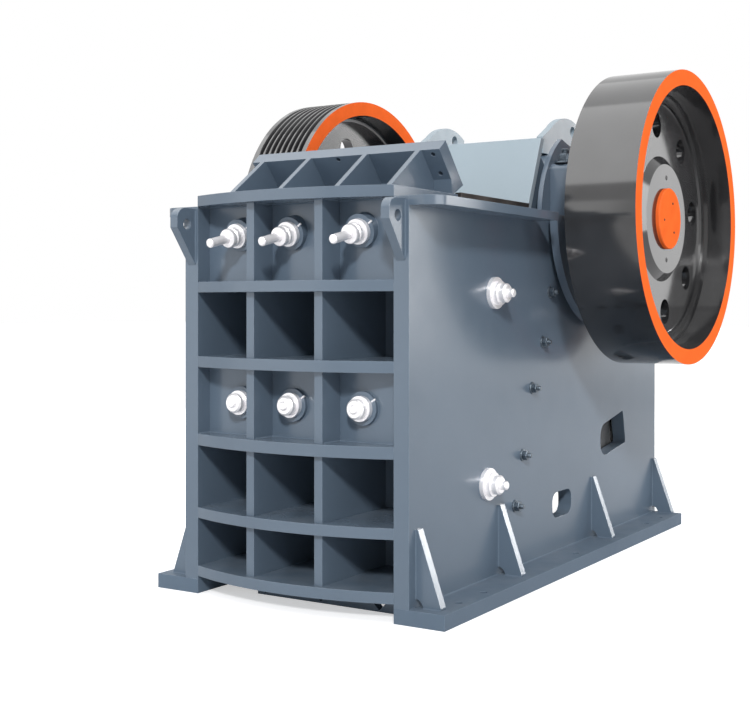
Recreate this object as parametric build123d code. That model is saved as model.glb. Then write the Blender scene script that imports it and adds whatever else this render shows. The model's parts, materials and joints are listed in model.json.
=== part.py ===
from build123d import *
import math
import os

# Jaw crusher of the 900 x 1200 mm class, in millimetres.
# x runs across the machine from its middle plane, y from the front edge of the side plates to the rear,
# z up from the floor. At the end every solid moves back by half the frame's length, so that the origin
# lies on the floor at the centre of the foundation bolts.

# Frame box
frame_length = 3338.0
frame_width = 1460.0
side_thickness = 90.0
frame_top = 2120.0
foot_thickness = 78.0
foot_overhang = 204.0
half_width = frame_width / 2
inner_half = half_width - side_thickness

# Foundation bolt holes: two near each end of a foot and one half way
foot_hole_radius = 21.0
foot_hole_inset = 69.0
foot_hole_end_insets = (253.0, 513.0)

# Gussets between the side plates and the feet
gusset_thickness = 50.0
gusset_height = 388.0
gusset_reach = 146.0
gusset_nose = 12.0
gusset_toe = 10.0
gusset_notch = 42.0
gusset_front_starts = (62.0, 927.0)
gusset_rear_insets = (1137.0, gusset_thickness)

# Flanges along the top edges of the side plates
flange_thickness = 48.0
flange_overhang = 168.0
flange_gap = 147.0
flange_corner = 90.0

# Side windows: the toggle window's rear end is set out from the rear wall
toggle_window_inset = 122.0
toggle_window_length = 428.0
toggle_window_bottom = 571.0
toggle_window_height = 209.0
toggle_window_floor_rise = 65.0
toggle_window_roof_rise = 78.0
toggle_window_lean = 46.0
toggle_window_front_round = 80.0
toggle_window_rear_round = 20.0
rod_window_y = 1756.0
rod_window_z = 358.0
rod_window_length = 272.0
rod_window_height = 156.0
rod_window_corner = 60.0

# Ribbed front wall
cell_depth = 520.0
wall_thickness = 50.0
rib_bulge = 108.0
rib_levels = ((96.0, 153.0), (415.0, 472.0), (813.0, 875.0), (1241.0, 1300.0), (1649.0, 1706.0))
top_plate_thickness = 58.0
top_plate_inset = 88.0
top_plate_bulge = 120.0
top_plate_lap = 40.0
upright_thickness = 50.0
upright_setback = 35.0
upright_x = 222.0
panel_setback = 95.0
panel_thickness = 60.0
sill_thickness = 50.0
sill_setback = 160.0
sill_start_x = -352.0
sill_notch_x = (-299.0, 75.0, 446.0)
sill_notch_floor = 6.0
jaw_ledge_height = 45.0

# Through bolts of the front wall and of the cheek plates
bolt_x = (-398.0, -50.0, 398.0)
upper_bolt_z = 1962.0
lower_bolt_z = 1051.0
upper_bolt_drop = 13.0
bolt_seat_radius = 88.0
bolt_seat_height = 22.0
bolt_washer_radius = 66.0
bolt_washer_height = 26.0
bolt_nut_radius = 53.0
bolt_nut_height = 44.0
bolt_nut_chamfer = 10.0
bolt_rod_radius = 24.0
bolt_rod_chamfer = 6.0
bolt_hole_clearance = 8.0
cheek_hole_clearance = 2.0
upper_rod_reach = 262.0
lower_rod_reach = 104.0
cheek_bolt_places = ((878.0, 1647.0), (797.0, 598.0))
cheek_bolt_reach = 128.0

# Lifting lugs on the front edges
lug_thickness = 50.0
lug_offset = 18.0
lug_reach = 142.0
lug_top = 2108.0
lug_knee = 2000.0
lug_bottom = 1800.0
lug_corner = 62.0
lug_hole_y = -65.0
lug_hole_z = 2020.0
lug_hole_radius = 29.0

# Feed apron on the top plate
apron_side_gap = 8.0
apron_half_width = inner_half - apron_side_gap
apron_foot_setback = 20.0
apron_foot_y = cell_depth + wall_thickness + apron_foot_setback
apron_foot_depth = 12.0
apron_knee_lead = 15.0
apron_knee_y = apron_foot_y - apron_knee_lead
apron_knee_z = 2257.0
apron_flare = 123.0
apron_lip_y = apron_knee_y - apron_flare
apron_lip_z = 2405.0
apron_thickness = 84.0
apron_heel_rise = 56.0
apron_rib_thickness = 30.0
apron_rib_left_insets = (83.0, 415.0)
apron_rib_right_insets = (466.0, 126.0)
apron_rib_toe = 158.0
apron_rib_toe_height = 18.0
apron_rib_lip_reach = 12.0
apron_hole_radius = 13.0
apron_end_hole_inset = 51.0
apron_end_hole_drops = (24.0, 118.0)
apron_mid_hole_x = -32.0
apron_mid_hole_drop = 17.0

# Jaws
jaw_backing = 50.0
tooth_height = 36.0
tooth_pitch = 80.0
tooth_foot_share = 0.16
tooth_crest_share = 0.38
jaw_bottom_z = 320.0
fixed_jaw_top = 2110.0
cheek_thickness = 36.0
fixed_jaw_gap = 4.0
swing_jaw_gap = 12.0
head_gap = 23.0
chamber_half = inner_half - cheek_thickness - fixed_jaw_gap
swing_half_width = inner_half - cheek_thickness - swing_jaw_gap
head_half_width = inner_half - head_gap
cheek_top = 2192.0
cheek_bottom = 330.0
swing_face_y = 1529.0
swing_face_z = 2206.0
swing_face_slope = 0.404
cover_top_z = 2614.0
cover_thickness = 40.0
cover_seam = 6.0

# Eccentric shaft, pitman and bearings
shaft_y = 2176.0
shaft_z = frame_top
throw = 15.0
journal_radius = 150.0
shaft_end_setback = 4.0
eccentric_radius = 190.0
bearing_clearance = 0.05
pitman_radius = 468.0
pitman_foot_depth = 182.0
pitman_toe_height = 28.0
pitman_toe_lap = 60.0
pitman_head_drop = 120.0
pitman_head_web = 60.0
pitman_back_lead = 120.0
pitman_back_drop = 60.0
pocket_inner = 40.0
pocket_outer = 500.0
pocket_head_lead = 640.0
pocket_head_drop = 560.0
pocket_floor_lead = 90.0
pocket_floor_rise = 260.0
pocket_mouth_depth = 190.0
pocket_back_lead = 56.0
toggle_seat_y = 1290.0
toggle_seat_z = 540.0
toggle_seat_height = 130.0
toggle_seat_drop = 150.0
housing_disc_radius = 673.0
housing_disc_start = 40.0
housing_disc_end = 90.0
housing_boss_radius = 560.0
housing_barrel_radius = 318.0
housing_reach = 180.0
housing_seat_clearance = 2.0
end_cover_radius = 262.0
end_cover_thickness = 16.0
cap_half_length = 461.0
cap_top = 2455.0
cap_corner = 40.0
guard_radius = 585.0
guard_thickness = 30.0
guard_peak_z = 2630.0
guard_peak_lead = 320.0
guard_slope = 0.26
ear_inset = 155.0
ear_thickness = 45.0
ear_crown = ((-56.0, 622.0), (190.0, 710.0), (404.0, 650.0))
ear_foot = ((414.0, 350.0), (0.0, 440.0), (-186.0, 440.0), (-186.0, 548.0))
ear_hole_y = 2445.0
ear_hole_z = 2748.0
ear_hole_radius = 38.0

# Wheels
wheel_radius = 908.0
wheel_width = 434.0
wheel_gap = 246.0
wheel_inner_face = half_width + wheel_gap
rim_thickness = 95.0
web_face_depth = 195.0
web_thickness = 75.0
hub_radius = 392.0
hub_face_radius = 341.0
hub_rise = 38.0
hub_back_rise = 60.0
rim_ledge_rise = 44.0
rim_ledge_width = 30.0
step_ring_rise = 16.0
step_ring_width = 50.0
step_ring_draft = 4.0
casting_round = 30.0
cap_radius = 190.0
cap_rise = 26.0
cap_chamfer = 5.0
web_hole_count = 8
web_hole_circle = 585.0
web_hole_radius = 78.0
web_hole_turn = 7.0
groove_count = 8
groove_depth = 24.0
groove_margin = 30.0
groove_lip_share = 0.1
groove_floor_share = 0.36

# Rear wall
rear_wall_inset = 438.0
rear_wall_y = frame_length - rear_wall_inset
rear_wall_thickness = 60.0
rear_wall_bottom = 310.0
rear_wall_top = 1260.0
rear_rib_thickness = 50.0
rear_rib_levels = (rear_wall_bottom, 800.0, 1190.0)
rear_rib_setback = 20.0

# Toggle plate with round ends, between the pitman's seat and the toggle block
toggle_radius = 45.0
toggle_front_standoff = 20.0
toggle_rear_standoff = 12.0
toggle_span = 738.0
toggle_seat_clearance = 0.3
toggle_gap = 9.0
toggle_side_gap = 80.0
block_side_gap = 22.0
rail_width = 90.0
rail_height = 60.0
block_bottom = 600.0
block_top = 840.0
shim_thickness = 26.0
shim_count = 5
shim_groove = 5.0
toggle_front_y = toggle_seat_y + toggle_front_standoff
toggle_rear_y = toggle_front_y + toggle_span
block_front = toggle_rear_y + toggle_rear_standoff
block_middle_z = (block_bottom + block_top) / 2
block_rear = rear_wall_y - shim_count * shim_thickness

# Tension rods from the pitman's foot through the rear wall, with rubber spring packs
rod_x = (-330.0, 330.0)
rod_radius = 20.0
rod_z = 420.0
rod_clearance = 8.0
rod_eye_length = 70.0
rod_eye_width = 90.0
rod_eye_height = 56.0
rod_end_gap = 24.0
rod_washer_radius = 60.0
rod_washer_thickness = 20.0
rod_nut_radius = 36.0
rod_nut_height = 34.0
rod_tail = 45.0
spring_radius = 75.0
spring_ring_length = 42.0
spring_ring_count = 3
spring_plate_thickness = 8.0
spring_waist = 10.0

running_gap = 12.0
cheek_running_gap = 6.0
spare = 10.0


def box(x0, x1, y0, y1, z0, z1):
    """A block between six planes."""
    return Pos((x0 + x1) / 2, (y0 + y1) / 2, (z0 + z1) / 2) * Box(x1 - x0, y1 - y0, z1 - z0)


def plate_yz(points, x0, x1):
    """A plate across x whose outline is a polygon of (y, z) points."""
    face = make_face(Plane.YZ * Polyline(*points, close=True))
    return Pos(x0, 0, 0) * extrude(face, amount=x1 - x0, dir=(1, 0, 0))


def drum_x(y, z, radius, x0, x1):
    """A cylinder along x."""
    return Pos((x0 + x1) / 2, y, z) * Rot(0, 90, 0) * Cylinder(radius, x1 - x0)


def drum_y(x, z, radius, y0, y1):
    """A cylinder along y."""
    return Pos(x, (y0 + y1) / 2, z) * Rot(90, 0, 0) * Cylinder(radius, y1 - y0)


def mirrored(solid, side):
    """The right-hand solid as it is, or mirrored to the left."""
    return solid if side > 0 else mirror(solid, about=Plane.YZ)


def edges_at(solid, points):
    """The edges along x that lie nearest to the given (y, z) points."""
    across = solid.edges().filter_by(Axis.X)
    return [min(across, key=lambda e: math.hypot(e.center().Y - y, e.center().Z - z)) for y, z in points]


def toggle_window():
    """A cutter for the window beside the toggle block, with large rounds at its front end."""
    rear = rear_wall_y - toggle_window_inset
    front = rear - toggle_window_length
    roof = toggle_window_bottom + toggle_window_height
    front_corners = ((front, toggle_window_bottom), (front, roof))
    rear_corners = ((rear, toggle_window_bottom + toggle_window_floor_rise),
                    (rear - toggle_window_lean, roof + toggle_window_roof_rise))
    outline = (front_corners[0], rear_corners[0], rear_corners[1], front_corners[1])
    window = plate_yz(outline, inner_half - spare, half_width + spare)
    window = fillet(edges_at(window, front_corners), toggle_window_front_round)
    return fillet(edges_at(window, rear_corners), toggle_window_rear_round)


def side_plate():
    plate = box(inner_half, half_width, 0, frame_length, foot_thickness, frame_top)
    plate -= drum_x(shaft_y, shaft_z, housing_barrel_radius + housing_seat_clearance,
                    inner_half - spare, half_width + spare)
    plate -= toggle_window()
    slot = Pos(inner_half + side_thickness / 2, rod_window_y, rod_window_z) * Box(
        side_thickness + 2 * spare, rod_window_length, rod_window_height)
    plate -= fillet(slot.edges().filter_by(Axis.X), rod_window_corner)
    for y, z in cheek_bolt_places:
        plate -= drum_x(y, z, bolt_rod_radius + cheek_hole_clearance, inner_half - spare, half_width + spare)
    return plate


def foot_plate():
    plate = box(inner_half, half_width + foot_overhang, 0, frame_length, 0, foot_thickness)
    near_ends = [y for inset in foot_hole_end_insets for y in (inset, frame_length - inset)]
    for y in near_ends + [frame_length / 2]:
        plate -= Pos(half_width + foot_overhang - foot_hole_inset, y, foot_thickness / 2) * Cylinder(
            foot_hole_radius, foot_thickness + 2 * spare)
    return plate


def gussets():
    outline = make_face(Plane.XZ * Polyline(
        (half_width, foot_thickness), (half_width + gusset_reach, foot_thickness),
        (half_width + gusset_reach, foot_thickness + gusset_toe),
        (half_width + gusset_nose, foot_thickness + gusset_height),
        (half_width, foot_thickness + gusset_height), close=True))
    blade = extrude(outline, amount=gusset_thickness, dir=(0, 1, 0))
    blade -= drum_y(half_width, foot_thickness, gusset_notch, -spare, gusset_thickness + spare)
    starts = list(gusset_front_starts) + [frame_length - inset for inset in gusset_rear_insets]
    return [Pos(0, start, 0) * blade for start in starts]


def top_flange():
    rear = shaft_y - housing_disc_radius - flange_gap
    strip = box(half_width, half_width + flange_overhang, 0, rear, frame_top - flange_thickness, frame_top)
    corner = strip.edges().filter_by(Axis.Z).group_by(Axis.Y)[0].sort_by(Axis.X)[-1]
    return fillet(corner, flange_corner)


def lifting_lug():
    start = inner_half + lug_offset
    points = ((0, lug_bottom), (0, lug_top), (-lug_reach, lug_top), (-lug_reach, lug_knee))
    plate = plate_yz(points, start, start + lug_thickness)
    plate = fillet(edges_at(plate, [(-lug_reach, lug_top)]), lug_corner)
    end = start + lug_thickness
    return plate - drum_x(lug_hole_y, lug_hole_z, lug_hole_radius, start - spare, end + spare)


def bowed_slab(half, bulge, rear, z0, z1):
    """A slab whose front edge bows forward in the middle."""
    bow = ThreePointArc((-half, 0), (0, -bulge), (half, 0))
    outline = make_face([bow, Line((half, 0), (half, rear)), Line((half, rear), (-half, rear)),
                         Line((-half, rear), (-half, 0))])
    return Pos(0, 0, z0) * extrude(outline, amount=z1 - z0, dir=(0, 0, 1))


def front_rib(level):
    bottom, top = level
    return bowed_slab(inner_half, rib_bulge, cell_depth, bottom, top)


def front_top_plate():
    return bowed_slab(half_width - top_plate_inset, top_plate_bulge, apron_foot_y + top_plate_lap,
                      frame_top, frame_top + top_plate_thickness)


def bow_at(x):
    """How far forward the ribs' bowed edge stands at x."""
    radius = (inner_half ** 2 + rib_bulge ** 2) / (2 * rib_bulge)
    return radius - rib_bulge - math.sqrt(radius ** 2 - x ** 2)


def cell_rows():
    """Bottom and top of the five rows of cells, from the lowest up."""
    edges = [top for bottom, top in rib_levels]
    roofs = [bottom for bottom, top in rib_levels[1:]] + [frame_top]
    return list(zip(edges, roofs))


def front_uprights():
    front = bow_at(upright_x) + upright_setback
    return [box(x - upright_thickness / 2, x + upright_thickness / 2, front, cell_depth, z0, z1)
            for z0, z1 in cell_rows() for x in (-upright_x, upright_x)]


def column_spans():
    """The three columns of cells, between side plates and uprights."""
    near = upright_x - upright_thickness / 2
    far = upright_x + upright_thickness / 2
    return ((-inner_half, -far), (-near, near), (far, inner_half))


def bolt_rows():
    """The closed rows of cells, each with the height, drop and rod reach of its bolts."""
    rows = cell_rows()
    return ((rows[4], upper_bolt_z, upper_bolt_drop, upper_rod_reach),
            (rows[2], lower_bolt_z, 0.0, lower_rod_reach))


def bolt_place(x, z, drop):
    """Where a front bolt's seat starts: against the panel's face, tilted down by drop degrees."""
    lead = bolt_seat_radius * math.tan(math.radians(drop))
    return Pos(x, panel_setback - lead, z) * Rot(drop, 0, 0)


def bolt_panels():
    """Panels with a round seat for each bolt, bored along the bolt."""
    solids = []
    for (z0, z1), bolt_z, drop, reach in bolt_rows():
        for (x0, x1), x in zip(column_spans(), bolt_x):
            panel = box(x0, x1, panel_setback, panel_setback + panel_thickness, z0, z1)
            place = bolt_place(x, bolt_z, drop)
            seat = place * drum_y(0, 0, bolt_seat_radius, -bolt_seat_height, panel_thickness)
            panel += seat & box(x0, x1, -cell_depth, panel_setback, z0, z1)
            panel -= place * drum_y(0, 0, bolt_rod_radius + bolt_hole_clearance,
                                    -panel_thickness, 3 * panel_thickness)
            solids.append(panel)
    return solids


def stepped_bolt(rod_reach, back_reach):
    """A bolt along -y whose round washer stands a seat's height in front of the origin."""
    base = -bolt_seat_height
    crown = base - bolt_washer_height
    washer = drum_y(0, 0, bolt_washer_radius, crown, base)
    nut = drum_y(0, 0, bolt_nut_radius, crown - bolt_nut_height, crown)
    nut = chamfer(nut.edges().filter_by(GeomType.CIRCLE).sort_by(Axis.Y)[0], bolt_nut_chamfer)
    rod = drum_y(0, 0, bolt_rod_radius, -rod_reach, back_reach)
    rod = chamfer(rod.edges().filter_by(GeomType.CIRCLE).sort_by(Axis.Y)[0], bolt_rod_chamfer)
    return washer + nut + rod


def front_bolts():
    """Bolts from in front of the panels back to the wall plate."""
    room = box(-half_width, half_width, -2 * cell_depth, cell_depth, 0, 2 * frame_top)
    return [(bolt_place(x, bolt_z, drop) * stepped_bolt(reach, cell_depth)) & room
            for row, bolt_z, drop, reach in bolt_rows() for x in bolt_x]


def cheek_bolts():
    ring = drum_y(0, 0, bolt_seat_radius, -bolt_seat_height, 0)
    bolt = Rot(0, 0, 90) * (ring + stepped_bolt(cheek_bolt_reach, side_thickness))
    return [mirrored(Pos(half_width, y, z) * bolt, side) for side in (-1, 1) for y, z in cheek_bolt_places]


def apron_slope():
    """The unit step (y, z) up the apron's flared face, from its knee to its lip."""
    rise = apron_lip_z - apron_knee_z
    run = apron_lip_y - apron_knee_y
    length = math.hypot(run, rise)
    return run / length, rise / length


def apron_holes():
    """Cutters for the liner bolt holes, square to the flared face."""
    run, rise = apron_slope()
    end_x = apron_half_width - apron_end_hole_inset
    places = [(end_x, drop) for drop in apron_end_hole_drops] + [(apron_mid_hole_x, apron_mid_hole_drop)]
    lean = math.degrees(math.atan2(-run, rise))
    return [Pos(x, apron_lip_y - drop * run / rise, apron_lip_z - drop) * Rot(lean, 0, 0) * drum_y(
        0, 0, apron_hole_radius, -apron_thickness, 2 * apron_thickness) for x, drop in places]


def feed_apron():
    run, rise = apron_slope()
    floor = frame_top + top_plate_thickness
    lip_back = (apron_lip_y + rise * apron_thickness, apron_lip_z - run * apron_thickness)
    heel_z = floor + apron_heel_rise
    heel_y = lip_back[0] - (lip_back[1] - heel_z) * run / rise
    outline = ((apron_lip_y, apron_lip_z), (apron_knee_y, apron_knee_z), (apron_foot_y, floor),
               (apron_foot_y + apron_foot_depth, floor), (heel_y, heel_z), lip_back)
    plate = plate_yz(outline, -apron_half_width, apron_half_width)
    for hole in apron_holes():
        plate -= hole
    return plate


def apron_ribs():
    floor = frame_top + top_plate_thickness
    outline = ((apron_rib_toe, floor), (apron_foot_y, floor), (apron_knee_y, apron_knee_z),
               (apron_lip_y, apron_lip_z), (apron_lip_y - apron_rib_lip_reach, apron_lip_z),
               (apron_rib_toe, floor + apron_rib_toe_height))
    places = [inset - apron_half_width for inset in apron_rib_left_insets]
    places += [apron_half_width - inset for inset in apron_rib_right_insets]
    return [plate_yz(outline, x - apron_rib_thickness / 2, x + apron_rib_thickness / 2) for x in places]


def toothed_plate(half, length, backing):
    """A corrugated jaw plate on the xz plane: back at y = 0, crests towards -y, foot at z = 0."""
    count = int(2 * half // tooth_pitch)
    pitch = 2 * half / count
    points = [(-half, 0), (-half, -backing)]
    for i in range(count):
        x = -half + i * pitch
        foot = tooth_foot_share * pitch
        crest = tooth_crest_share * pitch
        points += [(x + foot, -backing), (x + crest, -backing - tooth_height),
                   (x + pitch - crest, -backing - tooth_height), (x + pitch - foot, -backing)]
    points += [(half, -backing), (half, 0)]
    return extrude(make_face(Polyline(*points, close=True)), amount=length, dir=(0, 0, 1))


def front_wall_plate():
    """The wall behind the cells, with the ledge that the fixed jaw plate stands on."""
    wall_rear = cell_depth + wall_thickness
    wall = box(-inner_half, inner_half, cell_depth, wall_rear, rib_levels[0][0], frame_top)
    return wall + box(-chamber_half, chamber_half, wall_rear, wall_rear + jaw_backing,
                      jaw_bottom_z - jaw_ledge_height, jaw_bottom_z)


def fixed_jaw_plate():
    plate = Rot(0, 0, 180) * toothed_plate(chamber_half, fixed_jaw_top - jaw_bottom_z, jaw_backing)
    return Pos(0, cell_depth + wall_thickness, jaw_bottom_z) * plate


def swing_face(z):
    """The y of the swing jaw's crests at height z."""
    return swing_face_y + swing_face_slope * (z - swing_face_z)


swing_tilt = math.degrees(math.atan(swing_face_slope))
swing_foot = Pos(0, swing_face(jaw_bottom_z), jaw_bottom_z) * Rot(-swing_tilt, 0, 0)


def swing_jaw_plate():
    length = (fixed_jaw_top - jaw_bottom_z) / math.cos(math.radians(swing_tilt))
    plate = toothed_plate(swing_half_width, length, jaw_backing)
    return swing_foot * Pos(0, jaw_backing + tooth_height, 0) * plate


def cheek_plate():
    front = cell_depth + wall_thickness + jaw_backing + tooth_height + running_gap
    rear_gap = running_gap + throw + cheek_running_gap
    points = ((front, cheek_bottom), (swing_face(cheek_bottom) - rear_gap, cheek_bottom),
              (swing_face(cheek_top) - rear_gap, cheek_top), (front, cheek_top))
    return plate_yz(points, inner_half - cheek_thickness, inner_half)


def jaw_line(offset, z):
    """A point on the plane parallel to the swing jaw's face, offset behind it, at height z."""
    return (swing_face(z) + offset / math.cos(math.radians(swing_tilt)), z)


def pitman_toe():
    """The step under the swing jaw plate, in line with the plate."""
    back = jaw_backing + tooth_height
    outline = ((tooth_height + running_gap, 0), (back, 0), (back, pitman_toe_lap),
               (back + pitman_toe_lap, pitman_toe_lap), (back + pitman_toe_lap, -pitman_toe_height),
               (tooth_height + running_gap, -pitman_toe_height))
    return swing_foot * plate_yz(outline, -swing_half_width, swing_half_width)


def pitman_pocket():
    """A cutter for the right-hand pocket between the ribs of the pitman's back."""
    floor = toggle_seat_z + pocket_floor_rise
    outline = ((shaft_y - pocket_head_lead, shaft_z - pocket_head_drop),
               (toggle_seat_y - pocket_floor_lead, floor), (toggle_seat_y + pocket_mouth_depth, floor),
               (shaft_y - pocket_back_lead, shaft_z - pocket_head_drop))
    return plate_yz(outline, pocket_inner, pocket_outer)


def pitman():
    back = jaw_backing + tooth_height
    drum = drum_x(shaft_y, shaft_z - throw, pitman_radius, -head_half_width, head_half_width)
    seam = fixed_jaw_top + cover_seam
    head = cover_top_z - pitman_head_drop
    slab = plate_yz((jaw_line(back, jaw_bottom_z), jaw_line(back + pitman_foot_depth, jaw_bottom_z),
                     (toggle_seat_y, toggle_seat_z - toggle_seat_drop),
                     (toggle_seat_y, toggle_seat_z + toggle_seat_height),
                     (shaft_y - pitman_back_lead, shaft_z - pitman_radius - pitman_back_drop),
                     (shaft_y, shaft_z - pitman_back_drop),
                     jaw_line(cover_thickness + pitman_head_web, head), jaw_line(cover_thickness, head),
                     jaw_line(cover_thickness, seam), jaw_line(back, seam)),
                    -swing_half_width, swing_half_width)
    body = drum + slab + pitman_toe()
    body -= drum_x(shaft_y, shaft_z - throw, eccentric_radius + bearing_clearance, -half_width, half_width)
    body -= drum_x(toggle_front_y, toggle_seat_z - throw, toggle_radius + throw + toggle_gap,
                   -half_width, half_width)
    body -= pitman_pocket()
    return body - mirror(pitman_pocket(), about=Plane.YZ)


def jaw_head_cover():
    seam = fixed_jaw_top + cover_seam
    outline = (jaw_line(0, seam), jaw_line(cover_thickness, seam),
               jaw_line(cover_thickness, cover_top_z), jaw_line(0, cover_top_z))
    return plate_yz(outline, -head_half_width, head_half_width)


def ear_outline():
    """The ear's outline above the pitman's drum, about the shaft's centre."""
    rim = Polyline(ear_crown[-1], *ear_foot, ear_crown[0])
    return make_face([ThreePointArc(*ear_crown), rim])


def lifting_ears():
    solids = []
    blank = extrude(Plane.YZ * ear_outline(), amount=ear_thickness, dir=(1, 0, 0))
    for x in (ear_inset - head_half_width, head_half_width - ear_inset):
        start = x - ear_thickness / 2
        end = x + ear_thickness / 2
        ear = Pos(start, shaft_y, shaft_z) * blank
        ear -= drum_x(shaft_y, shaft_z - throw, pitman_radius, start - spare, end + spare)
        ear -= drum_x(ear_hole_y, ear_hole_z, ear_hole_radius, start - spare, end + spare)
        solids.append(ear)
    return solids


def tension_rods():
    """Rods with an eye block on the pitman's foot, and a washer and nut behind the springs."""
    washer_y = spring_end() + rod_end_gap
    nut_y = washer_y + rod_washer_thickness
    solids = []
    for x in rod_x:
        eye = Pos(x, toggle_seat_y + rod_eye_length / 2, rod_z) * Box(
            rod_eye_width, rod_eye_length, rod_eye_height)
        rod = drum_y(x, rod_z, rod_radius, toggle_seat_y, nut_y + rod_nut_height + rod_tail)
        washer = drum_y(x, rod_z, rod_washer_radius, washer_y, nut_y)
        hexagon = extrude(Plane.XZ * RegularPolygon(rod_nut_radius, 6), amount=rod_nut_height, dir=(0, 1, 0))
        solids.append(eye + rod + washer + Pos(x, nut_y, rod_z) * hexagon)
    return solids


def rod_bore():
    """Radius of the holes that the tension rods swing in, centred one throw above the rods."""
    return rod_radius + throw + rod_clearance


def spring_end():
    pack = spring_ring_count * spring_ring_length + (spring_ring_count + 1) * spring_plate_thickness
    return rear_wall_y + rear_wall_thickness + pack


def tension_springs():
    """Packs of bulging rubber rings between round plates, seated on the rear wall."""
    start = rear_wall_y + rear_wall_thickness
    waist = spring_radius - spring_waist
    solids = []
    for x in rod_x:
        pack = drum_y(x, rod_z + throw, waist, start, spring_end())
        for i in range(spring_ring_count + 1):
            y = start + i * (spring_ring_length + spring_plate_thickness)
            pack += drum_y(x, rod_z + throw, spring_radius, y, y + spring_plate_thickness)
        solids.append(pack - drum_y(x, rod_z + throw, rod_bore(), start - spare, spring_end() + spare))
    return solids


def upper_half():
    """All that lies above the split of the right-hand bearing."""
    reach = 2 * housing_disc_radius
    return box(0, frame_width, shaft_y - reach, shaft_y + reach, shaft_z, shaft_z + reach)


def end_cover():
    start = half_width + housing_reach
    return drum_x(shaft_y, shaft_z, end_cover_radius, start, start + end_cover_thickness)


def bearing_housing():
    disc_start = half_width + housing_disc_start
    disc = drum_x(shaft_y, shaft_z, housing_disc_radius, disc_start, half_width + housing_disc_end)
    boss = drum_x(shaft_y, shaft_z, housing_boss_radius, half_width, disc_start)
    barrel = drum_x(shaft_y, shaft_z, housing_barrel_radius, inner_half, half_width + housing_reach)
    body = disc + boss + barrel + end_cover()
    body -= upper_half()
    return body - drum_x(shaft_y, shaft_z, journal_radius + bearing_clearance, 0, frame_width)


def bearing_cap():
    start = inner_half + guard_thickness
    block = box(start, half_width + housing_disc_end, shaft_y - cap_half_length, shaft_y + cap_half_length,
                shaft_z, cap_top)
    block = fillet(block.edges().filter_by(Axis.X).group_by(Axis.Z)[-1], cap_corner)
    barrel = drum_x(shaft_y, shaft_z, housing_barrel_radius, start, half_width + housing_reach)
    barrel = (barrel + end_cover()) & upper_half()
    return block + barrel - drum_x(shaft_y, shaft_z, journal_radius + bearing_clearance, 0, frame_width)


def head_guards():
    disc = drum_x(shaft_y, shaft_z, guard_radius, inner_half, inner_half + guard_thickness)
    span = 2 * guard_radius
    roof = ((shaft_y - span, guard_peak_z + guard_slope * (span - guard_peak_lead)),
            (shaft_y + span, guard_peak_z - guard_slope * (span + guard_peak_lead)),
            (shaft_y + span, shaft_z), (shaft_y - span, shaft_z))
    disc &= plate_yz(roof, inner_half - spare, inner_half + guard_thickness + spare)
    disc -= drum_x(shaft_y, shaft_z, housing_barrel_radius + housing_seat_clearance,
                   inner_half - spare, half_width)
    return [disc, mirrored(disc, -1)]


def eccentric_shaft():
    reach = wheel_inner_face + wheel_width - web_face_depth + hub_rise - shaft_end_setback
    shaft = drum_x(shaft_y, shaft_z, journal_radius, -reach, reach)
    return shaft + drum_x(shaft_y, shaft_z - throw, eccentric_radius, -head_half_width, head_half_width)


def grooves():
    """The tread's V grooves, in (distance from inner face, radius)."""
    pitch = (wheel_width - 2 * groove_margin) / groove_count
    floor = wheel_radius - groove_depth
    points = []
    for i in range(groove_count):
        start = groove_margin + i * pitch
        end = start + pitch
        lip = groove_lip_share * pitch
        foot = groove_floor_share * pitch
        points += [(start + lip, wheel_radius), (start + foot, floor),
                   (end - foot, floor), (end - lip, wheel_radius)]
    return points


def wheel_profile(grooved):
    """The wheel's half section in (distance from inner face, radius), as a face to revolve."""
    web_outer = wheel_width - web_face_depth
    web_inner = web_outer - web_thickness
    bore = journal_radius + bearing_clearance
    rim_inner = wheel_radius - rim_thickness
    step_top = rim_inner - rim_ledge_width - step_ring_draft
    step_foot = step_top - step_ring_width
    hub_back = web_inner - hub_back_rise
    points = [(hub_back, bore), (hub_back, hub_radius), (web_inner, hub_radius), (web_inner, rim_inner),
              (0, rim_inner), (0, wheel_radius)]
    if grooved:
        points += grooves()
    ledge = web_outer + rim_ledge_rise
    step = web_outer + step_ring_rise
    hub_face = web_outer + hub_rise
    points += [(wheel_width, wheel_radius), (wheel_width, rim_inner), (ledge, rim_inner),
               (ledge, rim_inner - rim_ledge_width), (step, step_top), (step, step_foot),
               (web_outer, step_foot - step_ring_draft), (web_outer, hub_radius),
               (hub_face, hub_face_radius), (hub_face, bore)]
    face = make_face(Polyline(*points, close=True))
    rounds = [min(face.vertices(), key=lambda v: math.hypot(v.X - a, v.Y - r))
              for a, r in ((web_inner, hub_radius), (web_inner, rim_inner))]
    return fillet(rounds, casting_round)


def wheel(grooved):
    """A wheel with its axis on x through the shaft and its inner face at wheel_inner_face."""
    disc = revolve(wheel_profile(grooved), axis=Axis.X)
    for i in range(web_hole_count):
        turn = math.radians(web_hole_turn + i * 360 / web_hole_count)
        disc -= drum_x(web_hole_circle * math.cos(turn), web_hole_circle * math.sin(turn), web_hole_radius,
                       0, wheel_width)
    return Pos(wheel_inner_face, shaft_y, shaft_z) * disc


def hub_cap():
    start = wheel_inner_face + wheel_width - web_face_depth + hub_rise
    disc = drum_x(shaft_y, shaft_z, cap_radius, start, start + cap_rise)
    return chamfer(disc.edges().filter_by(GeomType.CIRCLE).sort_by(Axis.X)[-1], cap_chamfer)


def rear_wall():
    """The wall that the toggle block pushes on, bored for the tension rods."""
    rear = rear_wall_y + rear_wall_thickness
    wall = box(-inner_half, inner_half, rear_wall_y, rear, rear_wall_bottom, rear_wall_top)
    for x in rod_x:
        wall -= drum_y(x, rod_z + throw, rod_bore(), rear_wall_y - spare, rear + spare)
    return wall


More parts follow.
